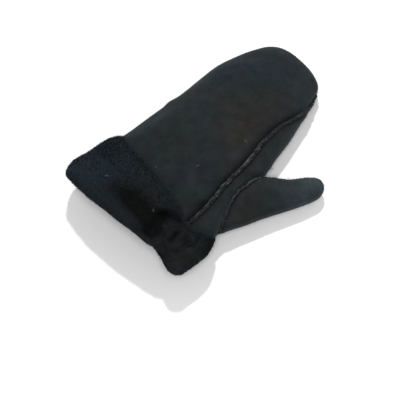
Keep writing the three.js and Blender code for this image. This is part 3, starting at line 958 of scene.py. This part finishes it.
def stitches(name, path, width, height, sink, closed, pitch, radius, seed):
    """Overcast stitches: slanting loops of thread over the ridge."""
    rng = np.random.default_rng(seed)
    side = side_of(path, closed)
    step = np.linalg.norm(path[1, :3] - path[0, :3])
    stride = pitch / step
    angles = np.radians(np.linspace(*STITCH_ARC, STITCH_POINTS))
    lean = STITCH_SLANT / step * np.linspace(-1, 1, STITCH_POINTS)
    all_points, all_faces, base = [], [], 0
    for number in range(int(len(path) / stride) - 1):
        middle = (number + 0.5 + rng.normal(0, STITCH_UNEVEN)) * stride
        where = clamp(middle + lean, 0, len(path) - 1).astype(int)
        over = side[where] * (np.cos(angles) * width * STITCH_REACH)[:, None]
        up = path[where, 3:] * (np.sin(angles) * height * rng.uniform(1.0, 1.12) - sink)[:, None]
        points, faces = tube(path[where, :3] + over + up, radius, STITCH_SIDES)
        all_points.append(points)
        all_faces.append(faces + base)
        base += len(points)
    return mesh_object(name, rested(np.vstack(all_points)), np.vstack(all_faces), [THREAD])


def strands(name, roots, directions, lengths, width, curl, material, tones, rng, normals=None, warmth=None):
    """Fine tapering fibres of three triangles each, shaded like the surface if its normals are given."""
    count = len(roots)
    jitter = unit(rng.normal(size=(count, 3)))
    side = unit(np.cross(directions, jitter))
    if normals is not None:
        facing = np.sum(np.cross(side, directions) * normals, axis=1, keepdims=True)
        side = side * np.where(facing < 0, -1.0, 1.0)
    bend = unit(np.cross(directions, side)) * (curl * lengths)[:, None]
    middle = roots + directions * (lengths * 0.55)[:, None] + bend
    tip = roots + directions * lengths[:, None] - bend * 0.4
    half = side * (width / 2)
    points = np.stack([roots - half, roots + half, middle - half * 0.75, middle + half * 0.75, tip], axis=1)
    points = rested(points, 0.05).reshape(-1, 3)
    first = np.arange(count)[:, None] * 5
    faces = np.vstack([first + [0, 1, 3], first + [0, 3, 2], first + [2, 3, 4]])
    warmth = None if warmth is None else np.repeat(warmth, 5)
    piece = mesh_object(name, points, faces, [material], tone=np.repeat(tones, 5), warmth=warmth)
    if normals is not None:
        shown = unit(normals + 0.09 * directions + 0.06 * side)
        piece.data.normals_split_custom_set_from_vertices(np.repeat(shown, 5, axis=0).tolist())
    return piece


def seam_fibres(name, path, width, height, sink, count, seed):
    """Short wool and hide fibres that stand out of a seam."""
    rng = np.random.default_rng(seed)
    side = side_of(path, False)
    at = rng.integers(1, len(path) - 1, count)
    across = rng.uniform(-0.5, 0.5, count)
    roots = path[at, :3] + side[at] * (across * width)[:, None]
    roots = roots + path[at, 3:] * (height * (0.9 - 1.2 * across**2) - sink)[:, None]
    out = unit(path[at, 3:] + 0.9 * side[at] * across[:, None] + 0.9 * rng.normal(size=(count, 3)))
    lengths = rng.uniform(0.5, 1.9, count)
    tones = rng.beta(1.2, 2.6, count)
    return strands(name, roots, out, lengths, 0.16, 0.15, FIBRE, tones, rng)


# Each seam: name, node, path, (width, height, sink), closed, stitches' pitch, thread's radius, fibres, seed
SEAMS = [
    ("hand_seam", "hand_seam", HAND_SEAM, (2.9, 2.9, 0.7), False, 4.4, 0.3, 3400, 100),
    ("thumb_base", "thumb_base_seam", THUMB_BASE, (1.9, 2.0, 0.5), True, 4.0, 0.24, 1300, 200),
    ("thumb_edge", "thumb_edge_seam", THUMB_EDGE, (1.6, 1.4, 0.8), False, 4.0, 0.22, 700, 300),
]
for seam, node, line, size, closed, pitch, radius, count, seed in SEAMS:
    add_piece(ridge(seam + "_edges", line, *size, closed, seed), "seam_edge", node)
    add_piece(stitches(seam + "_stitches", line, *size, closed, pitch, radius, seed + 1), "seam_edge")
    add_piece(seam_fibres(seam + "_fibres", line, *size, count, seed + 2), "seam_edge")


# Cuff


# The wool's surface: its columns, and its rows round the free edge, outside, over the fold and inside
COLUMNS = 330
EDGE_ROWS, OUTSIDE_ROWS, FOLD_ROWS, INSIDE_ROWS = 5, 46, 24, 22
WOOL_ROWS = EDGE_ROWS + OUTSIDE_ROWS + FOLD_ROWS + INSIDE_ROWS
RIM_ROWS = 5.0  # how far the free edge's shades reach
PILE_SINK = 0.6  # the skin's depth under the tips of the strands
PRESSED = 0.7  # and its height over the floor, at least
FOLD_ALONG = 0.12  # where the pile's depth is taken for the fold
# The wool's mean tone; the painted shade that darkens it from halfway round the fold inwards; the painted
# light that brightens its free edge
MEAN_TONE, INSIDE_PAINTED_SHADE, RIM_PAINTED_LIGHT = 0.30, 0.6, 0.12


def pile_at(along, degrees):
    """The wool's depth, less at the free edge and on the side away from the thumb."""
    edge = 1 - 0.5 * np.maximum(0, (along - 0.7) / 0.3) ** 2
    side = 1 - 0.3 * bump(angle_between(degrees, 180), 35)
    return CUFF_PILE * edge * side * (1 - dent_depth(CUFF_DENTS, along, degrees))


def cuff_grid():
    """The wool's surface from the free edge over the fold to the lining's end, then back along the hide."""
    degrees = np.linspace(0, 360, COLUMNS, endpoint=False)
    free = cuff_edge_row(degrees)
    clear = 2 * GAP
    lining = -WALL - clear - LINING_PILE + PILE_SINK
    first_pile = pile_at(FOLD_ALONG, degrees)
    middle, reach = (first_pile - PILE_SINK + lining) / 2, (first_pile - PILE_SINK - lining) / 2
    out = reach - FOLD_SLANT * np.cos(np.radians(degrees))
    rows = []
    for share in np.linspace(0.0, 1.0, EDGE_ROWS + 2)[1:-1]:
        angle = share * math.pi / 2
        pile = pile_at(1.0, degrees) - PILE_SINK
        point = hand_point(free, degrees, clear + pile * math.sin(angle))
        rows.append(point + ALONG_HAND * (CUFF_PILE * CUFF_OVERHANG * math.cos(angle)))
    for share in np.linspace(1.0, 0.0, OUTSIDE_ROWS):
        pile = pile_at(FOLD_ALONG + (1 - FOLD_ALONG) * share, degrees)
        rows.append(hand_point(free * share, degrees, clear + pile - PILE_SINK))
    for angle in np.linspace(0, math.pi, FOLD_ROWS + 2)[1:-1]:
        point = hand_point(0.0, degrees, middle + reach * math.cos(angle))
        rows.append(point - ALONG_HAND * (out * math.sin(angle))[:, None])
    lining_row = hand_row_at(-ORIGIN_ALONG * HAND_LENGTH + LINING_DEPTH)
    for t in np.linspace(0, lining_row, INSIDE_ROWS):
        rows.append(hand_point(t, degrees, lining))
    hide = [(lining_row, -WALL - clear), (0.0, -WALL - clear), (0.0, clear)]
    hide = hide + [(free * share, clear) for share in np.linspace(0.25, 1.0, 4)]
    for t, lift in hide:
        rows.append(hand_point(t, degrees, lift))
    return np.stack(rows, axis=0)


def cuff_relief(points):
    """The wool's soft tufts, in millimetres outwards."""
    return layered(points, [(1.0, 24, 41), (0.3, 10, 42), (0.07, 3.4, 43)])


def grid_normals(points):
    """Outward normals of a grid that is closed across its columns."""
    along = np.gradient(points, axis=0)
    around = np.roll(points, -1, axis=1) - np.roll(points, 1, axis=1)
    return unit(np.cross(around, along))


# Folds of the cuff: the line that each follows, its reach, its depth inwards, change of tone: painted shade
# in hollows where it is below 0, painted highlight on puffs, the lit upper left and its edge where above 0
CUFF_FOLDS = [
    ([(60, -75, 54), (55, -78, 56), (49, -83, 58)], 5.0, 2.8, -0.22),
    ([(47, -87, 58), (48, -93, 59), (50, -100, 59), (53, -111, 58)], 5.5, 3.2, -0.25),
    ([(49, -115, 52), (56, -113, 50)], 4.0, -1.6, 0.12),
    ([(62, -108, 55), (62, -101, 55)], 5.5, -2.0, 0.08),
    ([(53, -100, 58), (54, -107, 59)], 4.5, 1.2, -0.10),
    ([(67, -86, 52), (69, -95, 51)], 2.6, 2.0, -0.17),
    ([(78, -82, 52), (81, -84, 52), (83, -90, 50)], 3.0, 1.6, -0.10),
    ([(71, -104, 52), (77, -107, 44)], 3.0, 1.6, -0.07),
    ([(83, -108, 44), (84, -107, 43)], 3.0, 0.8, -0.08),
    ([(80, -108, 43), (84, -109, 43)], 7.5, -4.0, 0.04),
    ([(93, -108, 38), (90, -110, 36)], 7.0, -1.6, 0.12),
    ([(84, -80, 47), (85, -87, 45), (83, -92, 46)], 3.5, -1.4, 0.09),
    ([(-4, -101, 63), (13, -98, 63), (28, -98, 63), (40, -97, 61)], 12.0, 1.0, -0.22),
    ([(16, -98, 63), (34, -99, 62), (46, -105, 60)], 12.0, 1.2, -0.16),
    ([(56, -99, 57), (60, -100, 56)], 6.0, 0.8, -0.16),
    ([(72, -95, 52), (85, -100, 45)], 22.0, 0.0, -0.09),
    ([(-58, -70, 42), (-61, -95, 42), (-56, -114, 42)], 10.0, 0.0, 0.16),
    ([(-42, -103, 56), (-30, -95, 60)], 26.0, 0.0, 0.14),
    ([(-20, -72, 58), (5, -68, 60), (35, -64, 56)], 8.0, 0.0, 0.06),
    ([(-50, -62, 47), (-34, -65, 55), (-14, -66, 58)], 10.0, 0.0, 0.08),
    ([(-20, -122, 56), (10, -126, 56), (36, -114, 60)], 8.0, 0.0, 0.06),
    ([(-54, -119, 50), (-56, -123, 46)], 7.0, -3.4, 0.12),
    ([(-51, -58, 47), (-52, -64, 46)], 5.5, -2.2, 0.03),
]

# Where the wool's black is bluer or browner: place, reach, warmer or colder
WOOL_DYED = [
    [(-40, -100, 58), 36, -0.40],
    [(84, -98, 46), 26, 0.34],
    [(20, -118, 60), 22, 0.16],
]


def wool_warmth(points):
    return clamp(0.5 + near(points, WOOL_DYED) + 0.22 * soft_noise(points, 17, 44), 0, 1)


def folded(points):
    """How far the folds draw each point in, and the painted shade and highlight that they add to its tone.
    """
    depth, shade = np.zeros(points.shape[:-1]), np.zeros(points.shape[:-1])
    for line, reach, inward, change in CUFF_FOLDS:
        path = resampled(np.array(line, float), 1.0)
        there = bump(distance_to(path, points), reach)
        depth, shade = depth + inward * there, shade + change * there
    return depth, shade


cuff_points = cuff_grid()
cuff_normals = grid_normals(cuff_points)
fold_depth, fold_painted_light_and_shade = folded(cuff_points)
row_numbers = np.arange(len(cuff_points))
# The wool's tone: painted shade in the folds' hollows, painted highlight on puffs and the lit upper left
tone_grid = clamp(MEAN_TONE + fold_painted_light_and_shade, 0.03, 1)
# Painted shade darkens the wool from halfway round the fold inwards
tone_grid[EDGE_ROWS + OUTSIDE_ROWS + FOLD_ROWS // 2:] *= INSIDE_PAINTED_SHADE
# Painted light brightens the wool at the free edge
tone_grid += RIM_PAINTED_LIGHT * bump(row_numbers, RIM_ROWS)[:, None]
tufts = (cuff_relief(cuff_points) - fold_depth) * (row_numbers < WOOL_ROWS)[:, None]
cuff_skin = rested(cuff_points + cuff_normals * tufts[..., None], PRESSED)
add_piece(
    mesh_object(
        "wool_cuff_skin",
        cuff_skin.reshape(-1, 3),
        grid_faces(*cuff_skin.shape[:2], closed_columns=True, closed_rows=True)[:, ::-1],
        [WOOL],
        tone=tone_grid.ravel(),
        warmth=wool_warmth(cuff_skin).ravel(),
    ),
    "wool", "wool_cuff",
)


# What a strand's neighbourhood, its lock and chance add to its direction
LEANING, LOCKED, STRAYING = 0.22, 0.05, 0.20
# At the free edge: how far strands turn along the hand, how far their shading turns up, how much longer
RIM_TURN, RIM_LIT, RIM_LONGER = 0.8, 0.9, 0.9
LONG_SHARE, LONG_TIMES = 0.06, 2.1
STRAND_ROOT, STRAND_WIDTH, STRAND_CURL = 0.4, 0.50, 0.15


def cuff_pile(name, first_row, last_row, count, seed):
    """Strands of wool over some rows of the cuff's skin."""
    rng = np.random.default_rng(seed)
    rows = cuff_skin[first_row:last_row + 1]
    normals = cuff_normals[first_row:last_row + 1]
    columns = rows.shape[1]
    along = np.linalg.norm(np.diff(rows, axis=0), axis=2)
    around = np.linalg.norm(np.roll(rows, -1, axis=1) - rows, axis=2)[:-1]
    cell = along * around
    chance = (cell / cell.sum()).ravel()
    picked = rng.choice(len(chance), count, p=chance)
    i, k = picked // columns, picked % columns
    u, v = rng.random(count)[:, None], rng.random(count)[:, None]
    m = (k + 1) % columns

    def between(grid):
        low = grid[i, k] * (1 - v) + grid[i, m] * v
        high = grid[i + 1, k] * (1 - v) + grid[i + 1, m] * v
        return low * (1 - u) + high * u

    roots, out = between(rows), unit(between(normals))
    lean = np.stack([soft_noise(roots, 16, seed_lean) for seed_lean in (61, 62, 63)], axis=1)
    locks = np.stack([soft_noise(roots, 3.2, seed_lock) for seed_lock in (64, 65, 66)], axis=1)
    direction = unit(out + LEANING * lean + LOCKED * locks + STRAYING * rng.normal(size=(count, 3)))
    rim = bump(i + first_row, RIM_ROWS)
    direction = unit(direction + RIM_TURN * rim[:, None] * ALONG_HAND)
    shown = unit(out + RIM_LIT * rim[:, None] * UPWARDS)
    lengths = rng.uniform(0.7, 1.2, count) * (1 + 0.08 * soft_noise(roots, 5, 67) + RIM_LONGER * rim)
    lengths = lengths * np.where(rng.random(count) < LONG_SHARE, LONG_TIMES, 1.0)
    # A little more painted light on the strands at the free edge
    shade = tone_grid[first_row:last_row + 1][i, k] + 0.06 * rim
    tones = clamp(shade + 0.05 * soft_noise(roots, 9, 68) + 0.035 * rng.normal(size=count), 0, 1)
    return strands(
        name, roots - out * STRAND_ROOT, direction, lengths, STRAND_WIDTH, STRAND_CURL, WOOL, tones, rng,
        shown, wool_warmth(roots),
    )


# Each pile: name, first and last row, strands, seed
HALFWAY, LINING_START = EDGE_ROWS + OUTSIDE_ROWS // 2, WOOL_ROWS - INSIDE_ROWS
PILES = [
    ("wool_cuff_pile_outer", 0, HALFWAY, 62000, 71),
    ("wool_cuff_pile_fold", HALFWAY, LINING_START, 62000, 72),
    ("wool_cuff_pile_inner", LINING_START, WOOL_ROWS - 1, 22000, 73),
]
for pile in PILES:
    add_piece(cuff_pile(*pile), "wool")


# Bits of lint, and tufts that stick out of the seams: place, spread, length, how many, tone
LOOSE = [
    [(25, -23, 50.2), 0.7, 2.4, 5, 0.7],
    [(35, 33, 46.2), 0.6, 3.4, 4, 0.9],
    [(-19, -100, 63.6), 1, 2.4, 5, 0.6],
    [(39, -90, 61.6), 0.6, 3.6, 3, 0.6],
    [(0, -55, 52.2), 0.8, 2.2, 4, 0.5],
    [(65, 40, 23), 1.3, 2.8, 34, 0.06],
    [(85, 35, 28.5), 1.6, 2.4, 34, 0.08],
    [(88, 41, 26.5), 1.3, 2.2, 26, 0.08],
]


def loose_fibres():
    rng = np.random.default_rng(81)
    roots, lengths, tones = [], [], []
    for place, spread, length, count, tone in LOOSE:
        roots.append(np.array(place) + rng.normal(0, spread, (count, 3)) * np.array([1.0, 1.0, 0.3]))
        lengths.append(length * rng.uniform(0.6, 1.0, count))
        tones.append(np.full(count, tone))
    roots = np.vstack(roots)
    flat = rng.normal(size=(len(roots), 3)) * np.array([1.0, 1.0, 0.4])
    directions = unit(flat + 0.2 * UPWARDS)
    lengths, tones = np.concatenate(lengths), np.concatenate(tones)
    return strands("loose_fibres", roots, directions, lengths, 0.4, 0.2, FIBRE, tones, rng)


add_piece(loose_fibres(), "seam_edge")


# Camera, floor and light

CAMERA_AZIMUTH = math.radians(48)
CAMERA_ELEVATION = math.radians(62)
CAMERA_DISTANCE = 1.0
CAMERA_TARGET = Vector((0.0356, -0.0287, 0.0))
CAMERA_SENSOR, CAMERA_LENS = 36.0, 88.24
FLOOR_REACH, FLOOR_LEVEL = 3.0, -0.0002
FLOOR_COLOUR = (0.93, 0.93, 0.93, 1.0)
WORLD_STRENGTH = 0.38
# Lights: name, place, size, watts
LIGHTS = [
    ("key", (-0.54, 0.46, 1.42), 0.10, 15.0),
    ("fill", (0.50, -0.45, 1.20), 0.50, 9.0),
]


def photo_camera():
    data = bpy.data.cameras.new("photo_camera")
    data.sensor_width = CAMERA_SENSOR
    data.lens = CAMERA_LENS
    camera = bpy.data.objects.new("photo_camera", data)
    bpy.context.collection.objects.link(camera)
    a, e = CAMERA_AZIMUTH, CAMERA_ELEVATION
    back = Vector((math.sin(a) * math.cos(e), -math.cos(a) * math.cos(e), math.sin(e)))
    right = Vector((math.cos(a), math.sin(a), 0.0))
    up = back.cross(right)
    turned = Matrix((right, up, back)).transposed().to_4x4()
    camera.matrix_world = Matrix.Translation(CAMERA_TARGET + back * CAMERA_DISTANCE) @ turned
    bpy.context.scene.camera = camera


def floor():
    data = bpy.data.meshes.new("floor")
    corners = [(-1, -1), (1, -1), (1, 1), (-1, 1)]
    points = [(x * FLOOR_REACH, y * FLOOR_REACH, FLOOR_LEVEL) for x, y in corners]
    data.from_pydata(points, [], [(0, 1, 2, 3)])
    shader = Shader("pale_floor")
    shader.set(base_color=FLOOR_COLOUR, roughness=0.9, specular_ior_level=0.1)
    data.materials.append(shader.material)
    plane = bpy.data.objects.new("floor", data)
    bpy.context.collection.objects.link(plane)


def area_light(name, place, size, watts):
    data = bpy.data.lights.new(name, "AREA")
    data.shape = "DISK"
    data.size = size
    data.energy = watts
    lamp = bpy.data.objects.new(name, data)
    lamp.location = place
    lamp.rotation_euler = (CAMERA_TARGET - Vector(place)).to_track_quat("-Z", "Y").to_euler()
    bpy.context.collection.objects.link(lamp)


def studio_light():
    world = bpy.data.worlds.new("studio")
    world.use_nodes = True
    background = world.node_tree.nodes["Background"]
    background.inputs["Color"].default_value = (1.0, 1.0, 1.0, 1.0)
    background.inputs["Strength"].default_value = WORLD_STRENGTH
    bpy.context.scene.world = world
    for light in LIGHTS:
        area_light(*light)
    bpy.context.scene.view_settings.view_transform = "Standard"


photo_camera()
floor()
studio_light()
